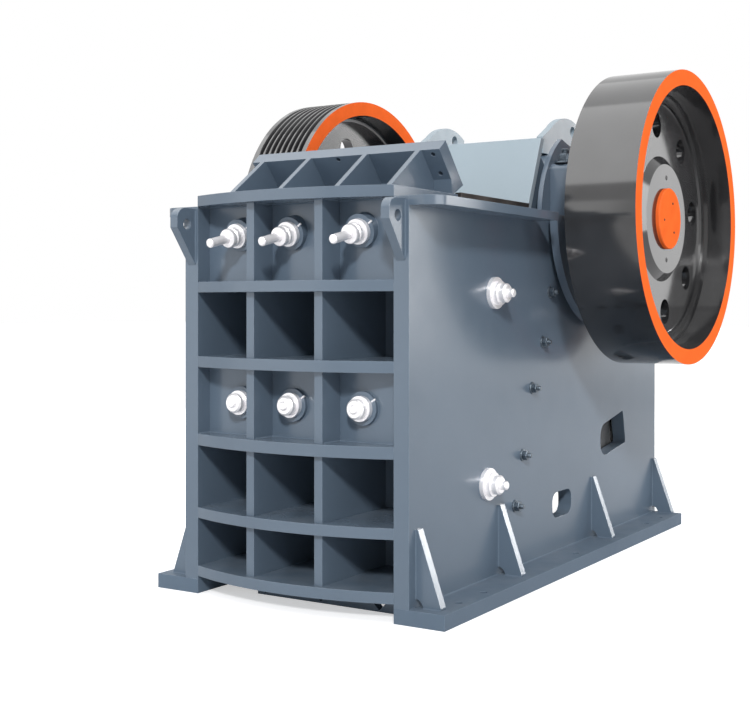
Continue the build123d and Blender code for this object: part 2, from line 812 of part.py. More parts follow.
def rear_ribs():
    start = rear_wall_y + rear_wall_thickness
    return [box(-inner_half, inner_half, start, frame_length - rear_rib_setback, z, z + rear_rib_thickness)
            for z in rear_rib_levels]


def rear_uprights():
    """Uprights behind the rear wall, between its ribs."""
    start = rear_wall_y + rear_wall_thickness
    half = upright_thickness / 2
    return [box(x - half, x + half, start, frame_length - rear_rib_setback, lower + rear_rib_thickness, upper)
            for lower, upper in zip(rear_rib_levels, rear_rib_levels[1:]) for x in (-upright_x, upright_x)]


def toggle_block():
    """The block behind the toggle plate, with the round seat for the plate's rear end."""
    half = inner_half - block_side_gap
    block = box(-half, half, block_front, block_rear, block_bottom, block_top)
    return block - drum_x(toggle_rear_y, block_middle_z, toggle_radius + toggle_seat_clearance,
                          -inner_half, inner_half)


def adjusting_shims():
    """A pack of shim plates between the toggle block and the rear wall, grooved where they part."""
    half = inner_half - block_side_gap
    pack = box(-half, half, block_rear, rear_wall_y, block_bottom, block_top)
    core = box(shim_groove - half, half - shim_groove, block_rear, rear_wall_y,
               block_bottom, block_top - shim_groove)
    for i in range(1, shim_count):
        y = block_rear + i * shim_thickness
        pack -= box(-half, half, y - shim_groove / 2, y + shim_groove / 2, block_bottom, block_top) - core
    return pack


def block_rails():
    inner = inner_half - rail_width
    return [box(inner, inner_half, block_front, rear_wall_y, block_bottom - rail_height, block_bottom),
            box(-inner_half, -inner, block_front, rear_wall_y, block_bottom - rail_height, block_bottom)]


def toggle_plate():
    half = swing_half_width - toggle_side_gap
    rise = block_middle_z - toggle_seat_z
    length = math.hypot(toggle_span, rise)
    across = (-rise / length * toggle_radius, toggle_span / length * toggle_radius)
    ends = ((toggle_front_y, toggle_seat_z), (toggle_rear_y, block_middle_z))
    lower = [(y - across[0], z - across[1]) for y, z in ends]
    upper = [(y + across[0], z + across[1]) for y, z in reversed(ends)]
    plate = plate_yz(lower + upper, -half, half)
    for y, z in ends:
        plate += drum_x(y, z, toggle_radius, -half, half)
    return plate


def front_sill():
    """The plate under the lowest rib, with V notches that point down."""
    top = rib_levels[0][0]
    depth = top - sill_notch_floor
    sill = box(sill_start_x, inner_half, sill_setback, sill_setback + sill_thickness, 0, top)
    for x in sill_notch_x:
        corners = ((x - depth, top), (x, sill_notch_floor), (x + depth, top))
        notch = make_face(Plane.XZ * Polyline(*corners, close=True))
        cutter = extrude(notch, amount=sill_thickness + 2 * spare, dir=(0, 1, 0))
        sill -= Pos(0, sill_setback - spare, 0) * cutter
    return sill


nodes = {}
for side, word in ((1, "right"), (-1, "left")):
    nodes[word + "_side_plate"] = [mirrored(side_plate(), side)]
    nodes[word + "_foot_plate"] = [mirrored(foot_plate(), side)]
    nodes[word + "_gussets"] = [mirrored(g, side) for g in gussets()]
    nodes[word + "_top_flange"] = [mirrored(top_flange(), side)]
    nodes[word + "_lifting_lug"] = [mirrored(lifting_lug(), side)]
    nodes[word + "_cheek_plate"] = [mirrored(cheek_plate(), side)]
    nodes[word + "_bearing_housing"] = [mirrored(bearing_housing(), side)]
    nodes[word + "_bearing_cap"] = [mirrored(bearing_cap(), side)]
for number, level in enumerate(rib_levels, 1):
    nodes["front_rib_%d" % number] = [front_rib(level)]
nodes["front_uprights"] = front_uprights()
nodes["front_wall_plate"] = [front_wall_plate()]
nodes["bolt_panels"] = bolt_panels()
nodes["front_top_plate"] = [front_top_plate()]
nodes["front_sill"] = [front_sill()]
nodes["feed_apron"] = [feed_apron()]
nodes["apron_ribs"] = apron_ribs()
nodes["front_bolts"] = front_bolts()
nodes["cheek_bolts"] = cheek_bolts()
nodes["fixed_jaw_plate"] = [fixed_jaw_plate()]
nodes["head_guards"] = head_guards()
nodes["rear_wall"] = [rear_wall()]
nodes["rear_ribs"] = rear_ribs()
nodes["rear_uprights"] = rear_uprights()
nodes["toggle_block"] = [toggle_block()]
nodes["block_rails"] = block_rails()
nodes["toggle_plate"] = [toggle_plate()]
nodes["adjusting_shims"] = [adjusting_shims()]
nodes["tension_springs"] = tension_springs()
nodes["eccentric_shaft"] = [eccentric_shaft()]
nodes["flywheel"] = [wheel(False)]
nodes["belt_pulley"] = [mirrored(wheel(True), -1)]
nodes["flywheel_cap"] = [hub_cap()]
nodes["pulley_cap"] = [mirrored(hub_cap(), -1)]
nodes["pitman"] = [pitman()]
nodes["swing_jaw_plate"] = [swing_jaw_plate()]
nodes["jaw_head_cover"] = [jaw_head_cover()]
nodes["jaw_lifting_ears"] = lifting_ears()
nodes["tension_rods"] = tension_rods()

os.makedirs("parts", exist_ok=True)
for name, solids in nodes.items():
    placed = [Pos(0, -frame_length / 2, 0) * s for s in solids]
    flat = [piece for s in placed for piece in s.solids()]
    export_step(flat[0] if len(flat) == 1 else Compound(children=flat), "parts/%s.step" % name)
print(len(nodes), "nodes")
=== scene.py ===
import json
import math
import random

import bmesh
import bpy
from mathutils import Matrix, Vector


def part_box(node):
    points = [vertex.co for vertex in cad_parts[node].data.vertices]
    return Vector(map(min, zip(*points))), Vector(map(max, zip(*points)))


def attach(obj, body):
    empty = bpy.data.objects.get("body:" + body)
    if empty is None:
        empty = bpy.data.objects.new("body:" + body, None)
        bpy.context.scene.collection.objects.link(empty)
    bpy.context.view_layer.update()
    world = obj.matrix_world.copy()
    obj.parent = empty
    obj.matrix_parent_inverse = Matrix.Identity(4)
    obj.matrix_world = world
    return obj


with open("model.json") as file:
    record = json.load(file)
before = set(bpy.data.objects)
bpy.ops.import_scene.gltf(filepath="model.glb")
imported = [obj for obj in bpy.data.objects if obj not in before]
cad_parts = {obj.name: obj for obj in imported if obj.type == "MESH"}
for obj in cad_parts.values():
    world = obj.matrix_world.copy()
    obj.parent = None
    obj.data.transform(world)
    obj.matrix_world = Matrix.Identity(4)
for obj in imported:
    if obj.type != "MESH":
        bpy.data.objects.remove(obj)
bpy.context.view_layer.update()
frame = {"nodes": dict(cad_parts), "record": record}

bl_info = {
    "name": "Jaw crusher finish",
    "version": (1, 0, 0),
    "blender": (4, 5, 0),
    "location": "3D View > Sidebar > Crusher",
    "description": "Paint, machined surfaces, fasteners, welds and a studio for the jaw crusher",
    "category": "Object",
}

SIDES = (("right", 1), ("left", -1))
SHAFT_CENTRE = (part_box("flywheel")[0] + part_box("flywheel")[1]) / 2
FRAME_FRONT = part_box("right_side_plate")[0].y
FRAME_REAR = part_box("right_side_plate")[1].y
PLATE_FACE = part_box("right_side_plate")[1].x
PLATE_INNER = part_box("right_side_plate")[0].x
FOOT_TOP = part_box("right_foot_plate")[1].z
FRAME_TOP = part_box("front_top_plate")[0].z

UP = Vector((0, 0, 1))
FORWARD = Vector((0, -1, 0))
BACK = Vector((0, 1, 0))


# Settings

class PaintSettings(bpy.types.PropertyGroup):
    """Colours of the machine's finishes."""
    slate: bpy.props.FloatVectorProperty(
        name="Slate", description="Blue-grey paint of the welded frame",
        subtype="COLOR", size=3, min=0, max=1, default=(0.114, 0.155, 0.205))
    slate_deep: bpy.props.FloatVectorProperty(
        name="Slate, deep", description="Darker tone that drifts through the frame paint",
        subtype="COLOR", size=3, min=0, max=1, default=(0.103, 0.141, 0.188))
    # A lighter copy of the slate paint: painted highlight on the jaw head's cover and ears, which face up
    # into the light.
    slate_lit: bpy.props.FloatVectorProperty(
        name="Pale", description="Light grey-blue paint of the jaw head",
        subtype="COLOR", size=3, min=0, max=1, default=(0.31, 0.385, 0.435))
    black: bpy.props.FloatVectorProperty(
        name="Black", description="Gloss paint of the wheels",
        subtype="COLOR", size=3, min=0, max=1, default=(0.016, 0.016, 0.017))
    orange: bpy.props.FloatVectorProperty(
        name="Orange", description="Paint of the rims' side faces and the hub caps",
        subtype="COLOR", size=3, min=0, max=1, default=(1.0, 0.165, 0.034))
    dust: bpy.props.FloatVectorProperty(
        name="Dust", description="Fine stone dust on upward faces",
        subtype="COLOR", size=3, min=0, max=1, default=(0.30, 0.31, 0.32))
    edge_width: bpy.props.FloatProperty(
        name="Edge", description="Width of the softened edge of a plate",
        unit="LENGTH", min=0.0005, max=0.02, default=0.004)


class FastenerSettings(bpy.types.PropertyGroup):
    """Sizes of the small fasteners."""
    liner_nut: bpy.props.FloatProperty(
        name="Liner nut", description="Width across flats of the side liner nuts",
        unit="LENGTH", min=0.01, max=0.2, default=0.050)
    liner_washer: bpy.props.FloatProperty(
        name="Liner washer", description="Diameter of the side liner washers",
        unit="LENGTH", min=0.02, max=0.3, default=0.070)
    cap_nut: bpy.props.FloatProperty(
        name="Cap nut", description="Width across flats of the bearing cap nuts",
        unit="LENGTH", min=0.01, max=0.2, default=0.075)
    cover_screw: bpy.props.FloatProperty(
        name="Cover screw", description="Width across flats of the end cover screws",
        unit="LENGTH", min=0.01, max=0.1, default=0.030)
    hub_plug: bpy.props.FloatProperty(
        name="Hub plug", description="Diameter of the plugged jacking holes in the hub face",
        unit="LENGTH", min=0.005, max=0.1, default=0.030)
    cap_screw: bpy.props.FloatProperty(
        name="Cap screw", description="Diameter of the small screws of the hub cap",
        unit="LENGTH", min=0.004, max=0.05, default=0.014)
    pin: bpy.props.FloatProperty(
        name="Seat pin", description="Diameter of the pin that keeps a bolt seat from turning",
        unit="LENGTH", min=0.004, max=0.05, default=0.012)
    lock_nut: bpy.props.FloatProperty(
        name="Lock nut", description="Diameter of the round lock nuts on the upper front bolts",
        unit="LENGTH", min=0.06, max=0.2, default=0.102)
    lock_nut_height: bpy.props.FloatProperty(
        name="Lock nut height", description="Height of the round lock nuts",
        unit="LENGTH", min=0.015, max=0.06, default=0.030)


class WeldSettings(bpy.types.PropertyGroup):
    """Fillet welds of the frame."""
    leg: bpy.props.FloatProperty(
        name="Leg", description="Leg length of the fillet welds",
        unit="LENGTH", min=0.003, max=0.03, default=0.006)
    ripple: bpy.props.FloatProperty(
        name="Ripple", description="Distance between two ripples of a weld",
        unit="LENGTH", min=0.002, max=0.03, default=0.009)
    seed: bpy.props.IntProperty(
        name="Seed", description="Start of the random unevenness", min=0, default=7)


class StudioSettings(bpy.types.PropertyGroup):
    """Camera, lamps and floor."""
    camera_place: bpy.props.FloatVectorProperty(
        name="Camera", description="Place of the camera",
        subtype="TRANSLATION", unit="LENGTH", size=3, default=(3.9318, -6.6930, 1.5776))
    camera_turn: bpy.props.FloatProperty(
        name="Turn", description="Heading of the level camera, from straight ahead",
        subtype="ANGLE", default=math.radians(29.9))
    lens: bpy.props.FloatProperty(
        name="Lens", description="Focal length in millimetres",
        unit="CAMERA", min=10, max=200, default=58.10)
    shift_x: bpy.props.FloatProperty(
        name="Shift across", description="Share of the picture's width", default=-0.1188)
    shift_y: bpy.props.FloatProperty(
        name="Shift up", description="Share of the picture's width", default=-0.0760)
    floor_size: bpy.props.FloatProperty(
        name="Floor", description="Side of the floor",
        unit="LENGTH", min=5, max=400, default=160.0)
    floor_colour: bpy.props.FloatVectorProperty(
        name="Floor colour", description="Colour of the matt floor",
        subtype="COLOR", size=3, min=0, max=1, default=(0.80, 0.80, 0.81))
    floor_lift: bpy.props.FloatProperty(
        name="Floor lift", description="How much the floor glows to the eye, so that it looks white",
        subtype="FACTOR", min=0, max=1, default=0.5)
    floor_mirror: bpy.props.FloatProperty(
        name="Floor in mirrors", description="How much the floor glows in reflections",
        subtype="FACTOR", min=0, max=1, default=0.06)
    key_strength: bpy.props.FloatProperty(
        name="Key", description="Strength of the main lamp", min=0, max=10, default=2.18)
    world_fill: bpy.props.FloatProperty(
        name="World fill", description="How strongly the white surroundings light matt surfaces",
        subtype="FACTOR", min=0, max=1, default=0.50)


# Node materials

class Finish:
    """A node material, with short calls for the nodes that the finishes share."""

    def __init__(self, name):
        self.material = bpy.data.materials.new(name)
        self.material.use_nodes = True
        self.tree = self.material.node_tree
        self.tree.nodes.clear()
        self.shader = self.add("ShaderNodeBsdfPrincipled")
        output = self.add("ShaderNodeOutputMaterial")
        self.link(self.shader.outputs["BSDF"], output.inputs["Surface"])
        self.place = self.add("ShaderNodeTexCoord")

    def add(self, kind, **settings):
        node = self.tree.nodes.new(kind)
        for key, value in settings.items():
            setattr(node, key, value)
        return node

    def link(self, source, target):
        self.tree.links.new(source, target)

    def constants(self, **values):
        """Numbers and colours that are the same all over the surface."""
        for key, value in values.items():
            socket = self.shader.inputs[key.replace("_", " ")]
            socket.default_value = value
        return self

    def noise(self, scale, detail=3.0, rough=0.55):
        """Noise in the part's own space, 0 to 1."""
        node = self.add("ShaderNodeTexNoise")
        node.inputs["Scale"].default_value = scale
        node.inputs["Detail"].default_value = detail
        node.inputs["Roughness"].default_value = rough
        self.link(self.place.outputs["Object"], node.inputs["Vector"])
        return node.outputs["Fac"]

    def patches(self, scale, detail, low, high, to_low=0.0, to_high=1.0):
        """Noise with its middle range stretched to two given values."""
        return self.span(self.noise(scale, detail), low, high, to_low, to_high)

    def span(self, value, low, high, to_low=0.0, to_high=1.0):
        """A value moved from one range to another and held inside it."""
        node = self.add("ShaderNodeMapRange")
        self.link(value, node.inputs["Value"])
        for key, number in zip(("From Min", "From Max", "To Min", "To Max"), (low, high, to_low, to_high)):
            node.inputs[key].default_value = number
        return node.outputs["Result"]

    def math(self, operation, first, second=None):
        """A sum, product or the like of one or two values, each a socket or a number."""
        node = self.add("ShaderNodeMath", operation=operation)
        for socket, value in zip(node.inputs, (first, second)):
            if value is None:
                continue
            if isinstance(value, (int, float)):
                socket.default_value = value
            else:
                self.link(value, socket)
        return node.outputs["Value"]

    def blend(self, share, first, second):
        """A colour between two colours, each a socket or a list of numbers."""
        node = self.add("ShaderNodeMix", data_type="RGBA")
        self.link(share, node.inputs["Factor"])
        for key, colour in (("A", first), ("B", second)):
            socket = [s for s in node.inputs if s.name == key and s.type == "RGBA"][0]
            if isinstance(colour, bpy.types.NodeSocket):
                self.link(colour, socket)
            else:
                socket.default_value = (*colour, 1.0)
        return [s for s in node.outputs if s.type == "RGBA"][0]

    def upward(self):
        """1 on faces that look up, 0 on walls."""
        geometry = self.add("ShaderNodeNewGeometry")
        parts = self.add("ShaderNodeSeparateXYZ")
        self.link(geometry.outputs["Normal"], parts.inputs["Vector"])
        return self.span(parts.outputs["Z"], 0.55, 0.95)

    def edges(self, width):
        """1 along sharp outer edges, and the softened normal."""
        soft = self.add("ShaderNodeBevel", samples=6)
        soft.inputs["Radius"].default_value = width
        geometry = self.add("ShaderNodeNewGeometry")
        dot = self.add("ShaderNodeVectorMath", operation="DOT_PRODUCT")
        self.link(soft.outputs["Normal"], dot.inputs[0])
        self.link(geometry.outputs["Normal"], dot.inputs[1])
        return self.span(dot.outputs["Value"], 0.999, 0.90), soft.outputs["Normal"]

    def axle_radius(self):
        """Distance from the shaft's axis, in the part's own space, in metres."""
        shift = self.add("ShaderNodeVectorMath", operation="SUBTRACT")
        self.link(self.place.outputs["Object"], shift.inputs[0])
        shift.inputs[1].default_value = SHAFT_CENTRE
        flat = self.add("ShaderNodeVectorMath", operation="MULTIPLY")
        self.link(shift.outputs["Vector"], flat.inputs[0])
        flat.inputs[1].default_value = (0.0, 1.0, 1.0)
        length = self.add("ShaderNodeVectorMath", operation="LENGTH")
        self.link(flat.outputs["Vector"], length.inputs[0])
        return length.outputs["Value"]

    def side_face(self):
        """1 on faces square to the shaft, 0 on the rest."""
        parts = self.add("ShaderNodeSeparateXYZ")
        self.link(self.place.outputs["Normal"], parts.inputs["Vector"])
        size = self.math("ABSOLUTE", parts.outputs["X"])
        return self.span(size, 0.93, 0.96)

    def along_axle(self):
        """Distance from the middle plane, in metres."""
        parts = self.add("ShaderNodeSeparateXYZ")
        self.link(self.place.outputs["Object"], parts.inputs["Vector"])
        return self.math("ABSOLUTE", parts.outputs["X"])

    def bump(self, height, strength, distance, normal):
        """Fine relief on top of the softened normal, with its distance in metres."""
        node = self.add("ShaderNodeBump")
        node.inputs["Strength"].default_value = strength
        node.inputs["Distance"].default_value = distance
        self.link(height, node.inputs["Height"])
        self.link(normal, node.inputs["Normal"])
        self.link(node.outputs["Normal"], self.shader.inputs["Normal"])

    def colour(self, socket):
        self.link(socket, self.shader.inputs["Base Color"])

    def roughness(self, socket):
        self.link(socket, self.shader.inputs["Roughness"])


def scaled(colour, factor):
    """A darker or lighter tone of a colour."""
    return tuple(factor * part for part in colour)


def sprayed_paint(name, tone, deep, settings, gloss=(0.20, 0.27), shine=0.5):
    """Machine paint: drifting tone, fine peel, a little dust on top faces, and edges lightened partly as wear
    and partly as painted highlight.
    """
    paint = Finish(name)
    paint.constants(Metallic=0.0, IOR=1.5, Specular_IOR_Level=shine)
    base = paint.blend(paint.patches(0.9, 4.0, 0.35, 0.65), deep, tone)
    base = paint.blend(paint.patches(38.0, 5.0, 0.52, 0.75, 0.0, 0.08), base, scaled(tone, 1.2))
    settled = paint.math("MULTIPLY", paint.upward(), paint.patches(5.5, 6.0, 0.40, 0.70, 0.02, 0.16))
    base = paint.blend(settled, base, settings.dust)
    edge, soft = paint.edges(settings.edge_width)
    # Lighter colour along the edges: partly paint wear, partly a painted highlight on the edges.
    wear_and_highlight = paint.math("MULTIPLY", edge, paint.patches(14.0, 6.0, 0.40, 0.62, 0.10, 0.45))
    paint.colour(paint.blend(wear_and_highlight, base, tuple(min(1.0, 1.9 * part + 0.05) for part in tone)))
    paint.roughness(paint.patches(7.0, 5.0, 0.3, 0.7, *gloss))
    paint.bump(paint.noise(70.0, 2.0), 0.05, 0.0004, soft)
    return paint.material


# The wheels' rims, the depth of the belt grooves and the radius of the turned hub face
RIM_DEPTH = 0.095
GROOVE_REACH = 0.030
HUB_FACE_RADIUS = 0.341
# Turning marks on the hub faces and on the shaft, in radians a metre
HUB_MARKS = 560.0
SHAFT_MARKS = 3200.0


def wheel_paint(settings, low, high, hub_plane):
    """Gloss black with orange rim sides, duller groove flanks and fine turning marks on the hub face."""
    tread = high.z - SHAFT_CENTRE.z
    inner_rim = tread - RIM_DEPTH
    half_width = (high.x - low.x) / 2
    paint = Finish("wheel_finish")
    paint.constants(IOR=1.5, Specular_IOR_Level=0.0, Coat_Roughness=0.11, Coat_IOR=1.8)
    radius = paint.axle_radius()
    square = paint.side_face()
    on_rim = paint.math("MULTIPLY", square, paint.span(radius, inner_rim - 0.001, inner_rim + 0.0005))
    from_middle = paint.math("ABSOLUTE", paint.math("SUBTRACT", paint.along_axle(), (low.x + high.x) / 2))
    rim = paint.math("MULTIPLY", on_rim, paint.span(from_middle, half_width - 0.006, half_width - 0.004))
    black = paint.blend(paint.patches(3.0, 5.0, 0.4, 0.6), settings.black, scaled(settings.black, 1.6))
    orange = paint.blend(paint.patches(9.0, 5.0, 0.35, 0.65), settings.orange, scaled(settings.orange, 0.92))
    paint.colour(paint.blend(rim, black, orange))
    gloss = paint.patches(11.0, 4.0, 0.3, 0.7, 0.22, 0.30)
    paint.roughness(paint.math("ADD", gloss, paint.math("MULTIPLY", rim, 0.22)))
    flank = paint.math("MULTIPLY", paint.span(radius, tread - 0.002, tread - 0.004),
                       paint.span(radius, tread - GROOVE_REACH, tread - GROOVE_REACH + 0.002))
    bare = paint.math("MAXIMUM", rim, paint.math("MULTIPLY", flank, 0.75))
    paint.link(paint.math("SUBTRACT", 1.0, bare), paint.shader.inputs["Coat Weight"])
    near_hub = paint.span(radius, HUB_FACE_RADIUS + 0.002, HUB_FACE_RADIUS + 0.001)
    outer = paint.span(paint.along_axle(), hub_plane - 0.004, hub_plane - 0.002)
    turned = paint.math("MULTIPLY", paint.math("MULTIPLY", square, near_hub), outer)
    marks = paint.math("MULTIPLY", paint.math("SINE", paint.math("MULTIPLY", radius, HUB_MARKS)), turned)
    cast = paint.math("MULTIPLY", paint.noise(24.0, 2.0), 0.5)
    paint.bump(paint.math("ADD", cast, marks), 0.04, 0.0004, paint.edges(settings.edge_width)[1])
    return paint.material


def cap_paint(settings):
    """Satin orange of the hub caps, with a painted highlight in paler orange along the edges."""
    paint = Finish("cap_finish")
    paint.constants(IOR=1.5, Specular_IOR_Level=0.0)
    edge, soft = paint.edges(settings.edge_width)
    base = paint.blend(paint.patches(12.0, 5.0, 0.35, 0.65), settings.orange, scaled(settings.orange, 0.88))
    # Paler orange along the edges: painted highlight.
    paint.colour(paint.blend(paint.math("MULTIPLY", edge, 0.25), base, (1.0, 0.45, 0.25)))
    paint.roughness(paint.patches(20.0, 4.0, 0.3, 0.7, 0.30, 0.42))
    paint.bump(paint.noise(80.0, 2.0), 0.06, 0.0004, soft)
    return paint.material


def plated_steel(settings):
    """Bright plated bolts."""
    steel = Finish("plated_finish")
    steel.constants(Metallic=0.4)
    steel.colour(steel.blend(steel.patches(25.0, 4.0, 0.3, 0.7), (0.89, 0.87, 0.89), (0.95, 0.94, 0.95)))
    steel.roughness(steel.patches(20.0, 2.0, 0.3, 0.7, 0.27, 0.33))
    steel.bump(steel.noise(90.0, 2.0), 0.01, 0.0003, steel.edges(settings.edge_width * 0.5)[1])
    return steel.material


def turned_steel(settings):
    """The shaft: turned, with fine rings round its axis."""
    steel = Finish("turned_finish")
    steel.constants(Metallic=1.0)
    steel.colour(steel.blend(steel.noise(18.0, 4.0), (0.48, 0.49, 0.50), (0.60, 0.61, 0.62)))
    steel.roughness(steel.patches(40.0, 4.0, 0.3, 0.7, 0.24, 0.38))
    rings = steel.math("SINE", steel.math("MULTIPLY", steel.along_axle(), SHAFT_MARKS))
    steel.bump(rings, 0.08, 0.0003, steel.edges(settings.edge_width)[1])
    return steel.material


def cast_metal(name, dark, light, settings):
    """Rough casting with a sandy skin and rubbed edges."""
    metal = Finish(name)
    metal.constants(Metallic=0.75)
    edge, soft = metal.edges(settings.edge_width)
    base = metal.blend(metal.patches(6.0, 7.0, 0.35, 0.65), dark, light)
    metal.colour(metal.blend(metal.math("MULTIPLY", edge, 0.5), base, scaled(light, 1.8)))
    metal.roughness(metal.patches(22.0, 6.0, 0.3, 0.7, 0.48, 0.70))
    metal.bump(metal.noise(90.0, 6.0, 0.65), 0.35, 0.002, soft)
    return metal.material


def dark_steel(name, dark, light, settings, metallic=0.5, shine=0.5):
    """Oiled or blackened screws, nuts and washers."""
    metal = Finish(name)
    metal.constants(Metallic=metallic, Specular_IOR_Level=shine)
    metal.colour(metal.blend(metal.patches(60.0, 5.0, 0.35, 0.65), dark, light))
    metal.roughness(metal.patches(80.0, 4.0, 0.3, 0.7, 0.26, 0.42))
    metal.bump(metal.noise(120.0, 3.0), 0.08, 0.0004, metal.edges(settings.edge_width * 0.4)[1])
    return metal.material


def spring_rubber(settings):
    """Moulded black rubber with a grey bloom."""
    rubber = Finish("rubber_finish")
    bloom = rubber.patches(16.0, 5.0, 0.45, 0.75)
    rubber.colour(rubber.blend(bloom, (0.018, 0.018, 0.019), (0.055, 0.055, 0.058)))
    rubber.roughness(rubber.patches(30.0, 4.0, 0.3, 0.7, 0.55, 0.75))
    rubber.bump(rubber.noise(180.0, 3.0), 0.15, 0.0005, rubber.edges(settings.edge_width)[1])
    return rubber.material


def pale_floor(settings):
    """A matt floor that looks white to the eye and in reflections, and keeps the machine's shadow."""
    stage = Finish("floor_finish")
    stage.constants(Roughness=0.9, Specular_IOR_Level=0.1, Base_Color=(*settings.floor_colour, 1.0),
                    Emission_Color=(1, 1, 1, 1))
    path = stage.add("ShaderNodeLightPath")
    mirrored = stage.math("MAXIMUM", path.outputs["Is Glossy Ray"], path.outputs["Is Transmission Ray"])
    glow = stage.math("MAXIMUM", stage.math("MULTIPLY", path.outputs["Is Camera Ray"], settings.floor_lift),
                      stage.math("MULTIPLY", mirrored, settings.floor_mirror))
    stage.link(glow, stage.shader.inputs["Emission Strength"])
    return stage.material


# Mesh helpers

SHARP_ANGLE = math.radians(32)


def set_material(names, material):
    """One material for whole CAD nodes."""
    for name in names:
        mesh = frame["nodes"][name].data
        mesh.materials.clear()
        mesh.materials.append(material)


def new_piece(name, bm, material, body):
    """A finished mesh that rides on a body."""
    bmesh.ops.recalc_face_normals(bm, faces=bm.faces)
    mesh = bpy.data.meshes.new(name)
    bm.to_mesh(mesh)
    bm.free()
    mesh.materials.append(material)
    piece = bpy.data.objects.new(name, mesh)
    bpy.context.scene.collection.objects.link(piece)
    mesh.shade_smooth()
    mesh.set_sharp_from_angle(angle=SHARP_ANGLE)
    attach(piece, body)
    return piece


def facing(place, direction):
    """A placement whose z axis points along a direction."""
    turn = Vector(direction).to_track_quat("Z", "Y").to_matrix().to_4x4()
    return Matrix.Translation(place) @ turn


def ring_of(bm, placement, radius, height, steps):
    """Points evenly round a circle."""
    points = []
    for k in range(steps):
        turn = 2 * math.pi * k / steps
        place = Vector((radius * math.cos(turn), radius * math.sin(turn), height))
        points.append(bm.verts.new(placement @ place))
    return points


def lathe(bm, placement, profile, steps=32):
    """A closed turned form from (radius, height) points, the first and last on the axis."""
    rings = []
    for radius, height in profile:
        if radius < 1e-6:
            rings.append([bm.verts.new(placement @ Vector((0, 0, height)))])
        else:
            rings.append(ring_of(bm, placement, radius, height, steps))
    for low, high in zip(rings, rings[1:]):
        for k in range(steps):
            after = (k + 1) % steps
            corners = (low[k % len(low)], low[after % len(low)], high[after % len(high)], high[k % len(high)])
            unique = list(dict.fromkeys(corners))
            if len(unique) > 2:
                bm.faces.new(unique)


def sleeve(bm, placement, section, steps=24):
    """A closed ring turned from a closed outline of (radius, height) points."""
    rings = [ring_of(bm, placement, radius, height, steps) for radius, height in section]
    for low, high in zip(rings, rings[1:] + rings[:1]):
        for k in range(steps):
            after = (k + 1) % steps
            bm.faces.new((low[k], low[after], high[after], high[k]))


def hex_nut(bm, placement, across, height):
    """A closed hexagon nut with rounded-off corners, standing on its seat."""
    corner = across / math.sqrt(3)
    shoulder = 0.06 * across
    profile = ((0, 0), (corner * 0.95, 0), (corner, shoulder), (corner, height - shoulder),
               (corner * 0.90, height), (0, height))
    lathe(bm, placement, profile, steps=6)


def washer(bm, placement, radius, height):
    """A round washer with a chamfered top."""
    edge = height * 0.25
    profile = ((0, 0), (radius, 0), (radius, height - edge), (radius - edge, height), (0, height))
    lathe(bm, placement, profile, steps=36)


def threaded_end(bm, placement, radius, length, pitch):
    """The end of a stud with its thread as rings."""
    profile = [(0, 0)]
    count = int(length / pitch)
    for k in range(count):
        profile += [(radius * 0.90, k * pitch), (radius, (k + 0.5) * pitch)]
    top = count * pitch
    profile += [(radius * 0.90, top), (radius * 0.75, top + 0.5 * pitch), (0, top + 0.5 * pitch)]
    lathe(bm, placement, profile, steps=20)


def stacked_nut(bm, seat, washer_radius, across, stack):
    """A washer, a nut and the threaded end of its stud, one on the other.

    The stack holds the heights of washer and nut, the stud's radius as a share of the width across flats,
    its length and its pitch.
    """
    washer_height, nut_height, stud_share, stud_length, pitch = stack
    above_washer = seat @ Matrix.Translation((0, 0, washer_height))
    above_nut = above_washer @ Matrix.Translation((0, 0, nut_height))
    washer(bm, seat, washer_radius, washer_height)
    hex_nut(bm, above_washer, across, nut_height)
    threaded_end(bm, above_nut, across * stud_share, stud_length, pitch)


# Operators that finish the carried-over nodes

def nodes_with(slot):
    """Names of the CAD nodes that the record gives this material slot."""
    return [row["node"] for row in frame["record"]["subparts"] if row["material_slot"] == slot]


class PaintFrame(bpy.types.Operator):
    """Slate paint on the welded frame, a duller one on its feet, and on the jaw head a lighter copy of the
    slate as painted highlight.
    """
    bl_idname = "crusher.paint_frame"
    bl_label = "Paint the frame"

    def execute(self, context):
        settings = context.scene.crusher_paint
        slate = sprayed_paint("slate_finish", settings.slate, settings.slate_deep, settings)
        set_material(nodes_with("frame_paint"), slate)
        foot = sprayed_paint("foot_finish", settings.slate, settings.slate_deep, settings, (0.50, 0.65), 0.12)
        set_material(["left_foot_plate", "right_foot_plate"], foot)
        # Lighter copy of the slate on the jaw head: painted highlight.
        slate_lit = sprayed_paint("slate_lit_finish", settings.slate_lit, scaled(settings.slate_lit, 0.93), settings,
                             (0.40, 0.50), 0.45)
        set_material(nodes_with("pale_paint"), slate_lit)
        return {"FINISHED"}


class PaintWheels(bpy.types.Operator):
    """Black, orange and turned finish of the two wheels, and the hub caps."""
    bl_idname = "crusher.paint_wheels"
    bl_label = "Paint the wheels"

    def execute(self, context):
        settings = context.scene.crusher_paint
        low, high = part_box("flywheel")
        hub_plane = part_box("flywheel_cap")[0].x
        set_material(nodes_with("wheel_black"), wheel_paint(settings, low, high, hub_plane))
        set_material(nodes_with("cap_orange"), cap_paint(settings))
        return {"FINISHED"}


class FinishMetal(bpy.types.Operator):
    """Bright bolts, turned shaft, manganese jaws, grey castings and the rubber of the springs."""
    bl_idname = "crusher.finish_metal"
    bl_label = "Finish the bare metal"

    def execute(self, context):
        settings = context.scene.crusher_paint
        set_material(nodes_with("bright_steel"), plated_steel(settings))
        set_material(nodes_with("shaft_steel"), turned_steel(settings))
        jaws = cast_metal("manganese_finish", (0.034, 0.030, 0.028), (0.072, 0.065, 0.061), settings)
        set_material(nodes_with("manganese_steel"), jaws)
        grey = cast_metal("casting_finish", (0.075, 0.078, 0.082), (0.13, 0.135, 0.14), settings)
        set_material(nodes_with("cast_grey"), grey)
        set_material(nodes_with("spring_rubber"), spring_rubber(settings))
        return {"FINISHED"}


# Operators that add small pieces

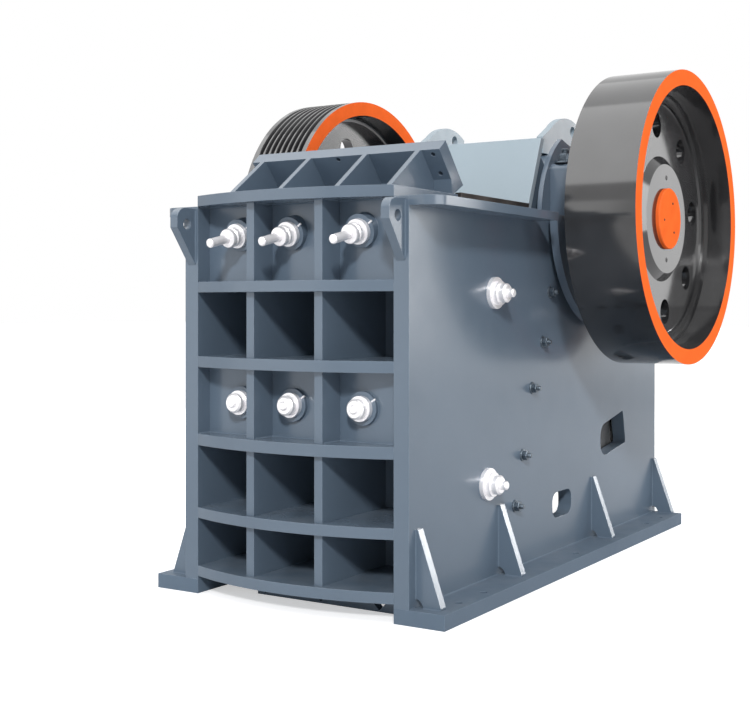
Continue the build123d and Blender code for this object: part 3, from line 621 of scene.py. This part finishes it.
# Places behind the frame's front edge and above the floor
LINER_BOLTS = ((1.584, 1.659), (1.486, 1.359), (1.346, 1.092), (1.224, 0.711), (1.127, 0.430))
LINER_STACK = (0.008, 0.028, 0.27, 0.020, 0.004)


class AddLinerBolts(bpy.types.Operator):
    """Five dark nuts that hold each cheek liner, on the outside of the side plates."""
    bl_idname = "crusher.add_liner_bolts"
    bl_label = "Add liner bolts"

    def execute(self, context):
        sizes = context.scene.crusher_fasteners
        material = dark_steel("oiled_finish", (0.05, 0.068, 0.09), (0.12, 0.15, 0.18),
                              context.scene.crusher_paint)
        for word, side in SIDES:
            bm = bmesh.new()
            for back, height in LINER_BOLTS:
                seat = facing((side * PLATE_FACE, FRAME_FRONT + back, height), (side, 0, 0))
                stacked_nut(bm, seat, sizes.liner_washer / 2, sizes.liner_nut, LINER_STACK)
            new_piece(word + "_liner_bolts", bm, material, "frame")
        return {"FINISHED"}


BOLT_COLUMNS = (-0.398, -0.050, 0.398)
# Height and downward tilt in degrees of the two rows of front bolts
BOLT_ROWS = ((1.962, 13.0), (1.051, 0.0))
SEAT_RADIUS = 0.088
SEAT_HEIGHT = 0.022
PANEL_FRONT = 0.095
UPPER_ROD_RADIUS = 0.024
LOCK_NUT_START = 0.0915
LOCK_NUT_ROUND = 0.009
PIN_TURN = math.radians(32)
PIN_LENGTH = 0.026
PIN_CHAMFER = 0.002
PIN_INSET = 0.019


def bolt_seats(height, drop):
    """Placements on the bolt panels for one row of front bolts, tilted as the bolts are."""
    lean = math.radians(drop)
    face = FRAME_FRONT + PANEL_FRONT - SEAT_RADIUS * math.tan(lean)
    for across in BOLT_COLUMNS:
        yield Matrix.Translation((across, face, height)) @ Matrix.Rotation(lean, 4, "X")


class AddSeatPins(bpy.types.Operator):
    """A bright pin that lies across the seat ring of each front bolt."""
    bl_idname = "crusher.add_seat_pins"
    bl_label = "Add seat pins"

    def execute(self, context):
        radius = context.scene.crusher_fasteners.pin / 2
        outward = Vector((math.cos(PIN_TURN), 0, math.sin(PIN_TURN)))
        start = outward * (SEAT_RADIUS - PIN_INSET) + Vector((0, 0.5 * radius - SEAT_HEIGHT, 0))
        profile = ((0, 0), (radius * 0.8, 0), (radius, PIN_CHAMFER), (radius, PIN_LENGTH - PIN_CHAMFER),
                   (radius * 0.8, PIN_LENGTH), (0, PIN_LENGTH))
        bm = bmesh.new()
        for row in BOLT_ROWS:
            for seat in bolt_seats(*row):
                lathe(bm, seat @ facing(start, outward), profile, steps=16)
        new_piece("bolt_seat_pins", bm, bpy.data.materials["plated_finish"], "frame")
        return {"FINISHED"}


class AddLockNuts(bpy.types.Operator):
    """A second, round nut on each of the three upper front bolts."""
    bl_idname = "crusher.add_lock_nuts"
    bl_label = "Add lock nuts"

    def execute(self, context):
        sizes = context.scene.crusher_fasteners
        radius = sizes.lock_nut / 2
        top = sizes.lock_nut_height
        shoulder = top - LOCK_NUT_ROUND
        section = ((UPPER_ROD_RADIUS, 0.0), (radius - 0.004, 0.0), (radius, 0.004), (radius, shoulder),
                   (radius - 0.35 * LOCK_NUT_ROUND, top - 0.3 * LOCK_NUT_ROUND),
                   (radius - LOCK_NUT_ROUND, top),
                   (UPPER_ROD_RADIUS + 0.003, top), (UPPER_ROD_RADIUS, top - 0.003))
        bm = bmesh.new()
        for seat in bolt_seats(*BOLT_ROWS[0]):
            sleeve(bm, seat @ facing(FORWARD * LOCK_NUT_START, FORWARD), section, steps=48)
        new_piece("front_bolt_lock_nuts", bm, bpy.data.materials["plated_finish"], "frame")
        return {"FINISHED"}


CAP_STUDS = (-0.405, -0.285, 0.285, 0.405)
CAP_MIDDLE = (PLATE_INNER + PLATE_FACE) / 2 + 0.060
CAP_WASHER_SHARE = 0.85
CAP_STACK = (0.010, 0.048, 0.32, 0.034, 0.005)
COVER_SCREW_COUNT = 8
COVER_SCREW_CIRCLE = 0.238
COVER_SCREW_HEIGHT = 0.015


def round_the_shaft(face, side, circle, degrees):
    """A placement on a face square to the shaft, on a circle round the shaft's axis."""
    turn = math.radians(degrees)
    place = (face, SHAFT_CENTRE.y + circle * math.cos(turn), SHAFT_CENTRE.z + circle * math.sin(turn))
    return facing(place, (side, 0, 0))


class AddCapNuts(bpy.types.Operator):
    """Studs, nuts and washers on top of the bearing caps, and the screws of the end covers."""
    bl_idname = "crusher.add_cap_nuts"
    bl_label = "Add bearing cap nuts"

    def execute(self, context):
        sizes = context.scene.crusher_fasteners
        material = bpy.data.materials["oiled_finish"]
        for word, side in SIDES:
            low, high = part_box(word + "_bearing_cap")
            bm = bmesh.new()
            for back in CAP_STUDS:
                seat = facing((side * CAP_MIDDLE, SHAFT_CENTRE.y + back, high.z), UP)
                stacked_nut(bm, seat, sizes.cap_nut * CAP_WASHER_SHARE, sizes.cap_nut, CAP_STACK)
            new_piece(word + "_bearing_cap_nuts", bm, material, "frame")
            end = side * max(abs(low.x), abs(high.x))
            step = 360 / COVER_SCREW_COUNT
            bm = bmesh.new()
            for k in range(COVER_SCREW_COUNT):
                seat = round_the_shaft(end, side, COVER_SCREW_CIRCLE, step * (k + 0.5))
                hex_nut(bm, seat, sizes.cover_screw, COVER_SCREW_HEIGHT)
            new_piece(word + "_end_cover_screws", bm, material, "frame")
        return {"FINISHED"}


HUB_PLUG_CIRCLE = 0.257
HUB_PLUG_TURNS = (90, 270)
HUB_PLUG_STAND = 0.0015
CAP_SCREW_CIRCLE = 0.105
CAP_SCREW_TURNS = (67, 187, 307)
CAP_SCREW_STAND = 0.003
SCREW_SINK = 0.002
SOCKET_DEPTH = 0.0008


class AddHubScrews(bpy.types.Operator):
    """Near-black plugs in the jacking holes of the hub faces, painted shade of open holes, and three small
    screws in each hub cap.
    """
    bl_idname = "crusher.add_hub_screws"
    bl_label = "Add hub screws"

    def execute(self, context):
        sizes = context.scene.crusher_fasteners
        # Near black and barely shiny: on the hub plugs this is painted shade that stands in for open jacking
        # holes.
        material = dark_steel("blackened_and_hole_shade_finish", (0.004, 0.004, 0.005), (0.010, 0.010, 0.011),
                              context.scene.crusher_paint, 0.0, 0.1)
        for wheel, cap, side in (("flywheel", "flywheel_cap", 1), ("belt_pulley", "pulley_cap", -1)):
            hub_face, cap_face = sorted(abs(corner.x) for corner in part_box(cap))
            bm = bmesh.new()
            for turn in HUB_PLUG_TURNS:
                seat = round_the_shaft(side * hub_face, side, HUB_PLUG_CIRCLE, turn)
                self.screw(bm, seat, sizes.hub_plug / 2, HUB_PLUG_STAND)
            for turn in CAP_SCREW_TURNS:
                seat = round_the_shaft(side * cap_face, side, CAP_SCREW_CIRCLE, turn)
                self.screw(bm, seat, sizes.cap_screw / 2, CAP_SCREW_STAND)
            new_piece(wheel + "_hub_screws", bm, material, "shaft")
        return {"FINISHED"}

    def screw(self, bm, seat, radius, stand):
        """A round screw head with a shallow socket, let into its seat."""
        socket = radius * 0.55
        profile = ((0, -SCREW_SINK), (radius, -SCREW_SINK), (radius, stand * 0.7), (radius * 0.9, stand),
                   (socket, stand), (socket, stand - SOCKET_DEPTH), (0, stand - SOCKET_DEPTH))
        lathe(bm, seat, profile, steps=24)


ROD_PLACES = (-0.330, 0.330)
ROD_THREAD_START = 0.044
ROD_THREAD_LENGTH = 0.0415
ROD_THREAD_PITCH = 0.004
ROD_THREAD_TURNS = 10
ROD_CORE = 0.0190
ROD_THREAD_END = 0.0195
ROD_THREAD_ROOT = 0.0202
ROD_THREAD_CREST = 0.0215


class AddRodThreads(bpy.types.Operator):
    """Threads on the tails of the tension rods."""
    bl_idname = "crusher.add_rod_threads"
    bl_label = "Add rod threads"

    def execute(self, context):
        low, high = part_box("tension_rods")
        section = [(ROD_THREAD_END, 0.0)]
        for k in range(ROD_THREAD_TURNS):
            section += [(ROD_THREAD_CREST, ROD_THREAD_PITCH * (k + 0.25)),
                        (ROD_THREAD_ROOT, ROD_THREAD_PITCH * (k + 0.75))]
        section += [(ROD_THREAD_END, ROD_THREAD_LENGTH), (ROD_CORE, ROD_THREAD_LENGTH), (ROD_CORE, 0.0)]
        bm = bmesh.new()
        for across in ROD_PLACES:
            sleeve(bm, facing((across, high.y - ROD_THREAD_START, (low.z + high.z) / 2), BACK), section)
        new_piece("tension_rod_threads", bm, bpy.data.materials["turned_finish"], "swing_jaw")
        return {"FINISHED"}


# A bead's unevenness, its two alternating crowns as shares of the leg, and how deep it sits in the plates
WELD_UNEVENNESS = 0.08
WELD_CROWNS = (0.52, 0.60)
WELD_BITE = 0.001
SEAM_END_GAP = 0.012
LUG_END_GAP = 0.010
GUSSET_STARTS = (0.062, 0.927, FRAME_REAR - FRAME_FRONT - 1.137, FRAME_REAR - FRAME_FRONT - 0.050)
GUSSET_THICKNESS = 0.050
GUSSET_NOTCH = 0.042
GUSSET_REACH = 0.144
UPRIGHTS = (-0.222, 0.222)
UPRIGHT_HALF = 0.025
RIB_COUNT = 5
CLOSED_ROWS = (2, 4)
# Fronts of the seams beside the bolt panels, behind the frame's front edge
SEAM_START_AT_PLATE = 0.010
SEAM_START_AT_UPRIGHT = -0.045
APRON_RIBS = (-0.549, -0.217, 0.166, 0.506)
APRON_RIB_HALF = 0.015
APRON_RIB_START = 0.160
APRON_FOOT = 0.590
REAR_RIB_LEVELS = (0.310, 0.800, 1.190)
REAR_RIB_THICKNESS = 0.050


class AddWelds(bpy.types.Operator):
    """Painted fillet welds where the plates of the frame meet."""
    bl_idname = "crusher.add_welds"
    bl_label = "Add welds"

    def execute(self, context):
        self.sizes = context.scene.crusher_welds
        self.chance = random.Random(self.sizes.seed)
        for word, side in SIDES:
            bm = bmesh.new()
            self.side_plate_seams(bm, word, side)
            new_piece(word + "_plate_welds", bm, bpy.data.materials["foot_finish"], "frame")
        for name, seams in (("front_welds", self.front_seams), ("apron_welds", self.apron_seams),
                            ("rear_welds", self.rear_seams)):
            bm = bmesh.new()
            seams(bm)
            new_piece(name, bm, bpy.data.materials["slate_finish"], "frame")
        return {"FINISHED"}

    def seam(self, bm, start, end, first, second):
        """A bead in the corner between two faces, given by their outward directions."""
        start, end = Vector(start), Vector(end)
        steps = max(2, round((end - start).length / self.sizes.ripple))
        rows = []
        for k in range(steps + 1):
            place = start.lerp(end, k / steps)
            leg = self.sizes.leg * (1 + WELD_UNEVENNESS * self.chance.uniform(-1, 1))
            crown = leg * WELD_CROWNS[k % 2]
            section = ((-WELD_BITE, -WELD_BITE), (leg, -WELD_BITE), (crown, crown), (-WELD_BITE, leg))
            rows.append([bm.verts.new(place + first * a + second * b) for a, b in section])
        for low, high in zip(rows, rows[1:]):
            for k in range(4):
                after = (k + 1) % 4
                bm.faces.new((low[k], low[after], high[after], high[k]))
        bm.faces.new(rows[0])
        bm.faces.new(rows[-1])

    def side_plate_seams(self, bm, word, side):
        """Foot, gussets and lug of one side plate."""
        out = Vector((side, 0, 0))
        face = side * PLATE_FACE
        gusset_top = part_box(word + "_gussets")[1].z
        edges = [FRAME_FRONT]
        for start in GUSSET_STARTS:
            front = FRAME_FRONT + start
            rear = front + GUSSET_THICKNESS
            edges += [front, rear]
            for y, across in ((front, FORWARD), (rear, BACK)):
                if y < FRAME_REAR - 0.01:
                    self.seam(bm, (side * (PLATE_FACE + GUSSET_NOTCH), y, FOOT_TOP),
                              (side * (PLATE_FACE + GUSSET_REACH), y, FOOT_TOP), across, UP)
                    self.seam(bm, (face, y, FOOT_TOP + GUSSET_NOTCH), (face, y, gusset_top), across, out)
        edges.append(FRAME_REAR)
        for start, end in zip(edges[0::2], edges[1::2]):
            if end - start > 2 * SEAM_END_GAP:
                self.seam(bm, (face, start + SEAM_END_GAP, FOOT_TOP), (face, end - SEAM_END_GAP, FOOT_TOP),
                          out, UP)
        low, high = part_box(word + "_lifting_lug")
        for x, away in ((low.x, -1), (high.x, 1)):
            self.seam(bm, (x, FRAME_FRONT, low.z + LUG_END_GAP), (x, FRAME_FRONT, high.z - LUG_END_GAP),
                      Vector((away, 0, 0)), FORWARD)

    def front_seams(self, bm):
        """The bolt panels to their ribs, and the ribs to the uprights beside them."""
        tops = [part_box("front_rib_%d" % k)[1].z for k in range(1, RIB_COUNT + 1)]
        roofs = [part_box("front_rib_%d" % k)[0].z for k in range(2, RIB_COUNT + 1)] + [FRAME_TOP]
        stops = [-PLATE_INNER]
        for x in UPRIGHTS:
            stops += [x - UPRIGHT_HALF, x + UPRIGHT_HALF]
        stops.append(PLATE_INNER)
        panel = FRAME_FRONT + PANEL_FRONT
        for row in CLOSED_ROWS:
            ends = ((tops[row], UP), (roofs[row], -UP))
            for left, right in zip(stops[0::2], stops[1::2]):
                for x, away in ((left, 1), (right, -1)):
                    at_plate = abs(x) == PLATE_INNER
                    front = FRAME_FRONT + (SEAM_START_AT_PLATE if at_plate else SEAM_START_AT_UPRIGHT)
                    for z, turn in ends:
                        self.seam(bm, (x, front, z), (x, panel, z), Vector((away, 0, 0)), turn)
                for z, turn in ends:
                    self.seam(bm, (left, panel, z), (right, panel, z), FORWARD, turn)

    def apron_seams(self, bm):
        """The apron and its ribs on the top plate."""
        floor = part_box("front_top_plate")[1].z
        low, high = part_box("feed_apron")
        foot = FRAME_FRONT + APRON_FOOT
        for x in APRON_RIBS:
            for away in (-1, 1):
                edge = x + away * APRON_RIB_HALF
                self.seam(bm, (edge, FRAME_FRONT + APRON_RIB_START, floor), (edge, foot - 0.006, floor),
                          Vector((away, 0, 0)), UP)
        stops = [low.x]
        for x in APRON_RIBS:
            stops += [x - APRON_RIB_HALF, x + APRON_RIB_HALF]
        stops.append(high.x)
        for left, right in zip(stops[0::2], stops[1::2]):
            self.seam(bm, (left, foot - 0.004, floor), (right, foot - 0.004, floor), FORWARD, UP)

    def rear_seams(self, bm):
        """The ribs and uprights behind the rear wall."""
        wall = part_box("rear_wall")[1].y
        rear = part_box("rear_ribs")[1].y
        tops = [level + REAR_RIB_THICKNESS for level in REAR_RIB_LEVELS]
        self.seam(bm, (-PLATE_INNER, wall, tops[0]), (PLATE_INNER, wall, tops[0]), BACK, UP)
        for under, top in zip(REAR_RIB_LEVELS[1:], tops[1:]):
            self.seam(bm, (-PLATE_INNER, wall, under), (PLATE_INNER, wall, under), BACK, -UP)
            self.seam(bm, (-PLATE_INNER, wall, top), (PLATE_INNER, wall, top), BACK, UP)
        for floor, roof in zip(tops, REAR_RIB_LEVELS[1:]):
            for x in UPRIGHTS:
                for away in (-1, 1):
                    edge = x + away * UPRIGHT_HALF
                    across = Vector((away, 0, 0))
                    self.seam(bm, (edge, wall, floor), (edge, wall, roof), across, BACK)
                    for z, turn in ((floor, UP), (roof, -UP)):
                        self.seam(bm, (edge, wall + 0.01, z), (edge, rear - 0.01, z), across, turn)


# The stage

# Each soft lamp: name, place, aim, width, height, watts, and whether matt and glossy surfaces show it
SOFT_LAMPS = (
    ("sky_panel", (-1.95, -5.75, 7.75), (-1.95, -5.65, 1.2), 12.0, 12.5, 850.0, False, True),
    ("sky_rear_panel", (-1.95, 2.75, 7.75), (-1.95, 2.85, 1.2), 12.0, 4.5, 100.0, False, True),
    ("overhead", (-1.0, -3.0, 9.0), (0.0, 0.0, 1.2), 7.0, 7.0, 140.0, True, False),
    ("front_left", (-5.8, -8.5, 2.1), (0.0, -1.0, 1.2), 7.0, 4.2, 80.0, True, True),
    ("back_right", (5.8, 9.0, 2.85), (0.8, 0.0, 1.5), 9.0, 4.7, 105.0, True, True),
    ("side_sheen", (8.4, 7.56, 3.2), (0.8, -1.2, 1.6), 4.0, 4.4, 165.0, True, True),
    ("back_left", (-7.5, 7.0, 4.5), (0.0, 0.0, 1.3), 8.0, 6.0, 620.0, True, False),
    ("right_softbox", (9.5, -2.5, 5.0), (1.0, 0.0, 4.0), 10.0, 10.0, 1400.0, False, True),
)
# The main lamp and the one that only glossy edges show: direction each comes from, and spread in degrees
KEY_LAMP = ((0.48, -0.735, 0.56), 7.0)
EDGE_LAMP = ((0.472, 0.852, 0.225), 12.0)
EDGE_STRENGTH = 0.60
FLOOR_DROP = 0.001


class BuildStudio(bpy.types.Operator):
    """Pale floor, soft lamps, white surroundings and the camera."""
    bl_idname = "crusher.build_studio"
    bl_label = "Build the studio"

    def execute(self, context):
        scene = context.scene
        settings = scene.crusher_studio
        scene.view_settings.view_transform = "Standard"
        self.lay_floor(scene, settings)
        for name, place, aim, width, height, watts, on_matt, on_gloss in SOFT_LAMPS:
            data = bpy.data.lights.new(name, "AREA")
            data.shape = "RECTANGLE"
            data.size = width
            data.size_y = height
            data.energy = watts
            lamp = self.add_lamp(scene, name, data, Vector(place) - Vector(aim))
            lamp.location = place
            lamp.visible_diffuse = on_matt
            lamp.visible_glossy = on_gloss
        self.add_far_lamp(scene, "key", KEY_LAMP, settings.key_strength)
        self.add_far_lamp(scene, "edge_rear", EDGE_LAMP, EDGE_STRENGTH).visible_diffuse = False
        self.light_world(scene, settings.world_fill)
        self.place_camera(scene, settings)
        return {"FINISHED"}

    def lay_floor(self, scene, settings):
        """A large square just under the feet."""
        half = settings.floor_size / 2
        bm = bmesh.new()
        corners = ((-half, -half), (half, -half), (half, half), (-half, half))
        bm.faces.new([bm.verts.new((x, y, -FLOOR_DROP)) for x, y in corners])
        mesh = bpy.data.meshes.new("studio_floor")
        bm.to_mesh(mesh)
        bm.free()
        mesh.materials.append(pale_floor(settings))
        floor = bpy.data.objects.new("studio_floor", mesh)
        scene.collection.objects.link(floor)

    def add_lamp(self, scene, name, data, away):
        """A lamp that shines against a direction."""
        lamp = bpy.data.objects.new(name, data)
        lamp.rotation_euler = away.to_track_quat("Z", "Y").to_euler()
        scene.collection.objects.link(lamp)
        return lamp

    def add_far_lamp(self, scene, name, source, strength):
        """Light from far away, with its direction and spread."""
        direction, spread = source
        data = bpy.data.lights.new(name, "SUN")
        data.energy = strength
        data.angle = math.radians(spread)
        return self.add_lamp(scene, name, data, Vector(direction))

    def light_world(self, scene, fill):
        """White to the eye and in reflections, softer as a lamp."""
        world = bpy.data.worlds.new("studio_world")
        world.use_nodes = True
        scene.world = world
        tree = world.node_tree
        tree.nodes.clear()
        path = tree.nodes.new("ShaderNodeLightPath")
        seen = path.outputs["Is Camera Ray"]
        for ray in ("Is Glossy Ray", "Is Transmission Ray"):
            either = tree.nodes.new("ShaderNodeMath")
            either.operation = "MAXIMUM"
            tree.links.new(seen, either.inputs[0])
            tree.links.new(path.outputs[ray], either.inputs[1])
            seen = either.outputs["Value"]
        level = tree.nodes.new("ShaderNodeMapRange")
        level.inputs["To Min"].default_value = fill
        level.inputs["To Max"].default_value = 1.0
        tree.links.new(seen, level.inputs["Value"])
        background = tree.nodes.new("ShaderNodeBackground")
        background.inputs["Color"].default_value = (1, 1, 1, 1)
        tree.links.new(level.outputs["Result"], background.inputs["Strength"])
        output = tree.nodes.new("ShaderNodeOutputWorld")
        tree.links.new(background.outputs["Background"], output.inputs["Surface"])

    def place_camera(self, scene, settings):
        """A level camera with a shifted lens."""
        data = bpy.data.cameras.new("photo_camera")
        data.sensor_width = 36.0
        data.lens = settings.lens
        data.shift_x = settings.shift_x
        data.shift_y = settings.shift_y
        data.clip_end = 200.0
        camera = bpy.data.objects.new("photo_camera", data)
        camera.location = settings.camera_place
        camera.rotation_euler = (math.radians(90), 0, settings.camera_turn)
        scene.collection.objects.link(camera)
        scene.camera = camera


OPERATORS = (PaintFrame, PaintWheels, FinishMetal, AddLinerBolts, AddSeatPins, AddLockNuts, AddCapNuts,
             AddHubScrews, AddRodThreads, AddWelds, BuildStudio)
GROUPS = (("crusher_paint", PaintSettings), ("crusher_fasteners", FastenerSettings),
          ("crusher_welds", WeldSettings), ("crusher_studio", StudioSettings))


class CrusherPanel(bpy.types.Panel):
    """Lists the steps and the sizes and colours that they use."""
    bl_idname = "VIEW3D_PT_crusher"
    bl_label = "Jaw crusher"
    bl_space_type = "VIEW_3D"
    bl_region_type = "UI"
    bl_category = "Crusher"

    def draw(self, context):
        for operator in OPERATORS:
            self.layout.operator(operator.bl_idname)
        for name, group in GROUPS:
            box = self.layout.box()
            for key in group.__annotations__:
                box.prop(getattr(context.scene, name), key)


def register():
    for name, group in GROUPS:
        bpy.utils.register_class(group)
        setattr(bpy.types.Scene, name, bpy.props.PointerProperty(type=group))
    for each in (*OPERATORS, CrusherPanel):
        bpy.utils.register_class(each)


def unregister():
    for each in (CrusherPanel, *reversed(OPERATORS)):
        bpy.utils.unregister_class(each)
    for name, group in reversed(GROUPS):
        delattr(bpy.types.Scene, name)
        bpy.utils.unregister_class(group)


def main():
    register()
    for operator in OPERATORS:
        group, step = operator.bl_idname.split(".")
        getattr(getattr(bpy.ops, group), step)()


if __name__ == "__main__":
    main()
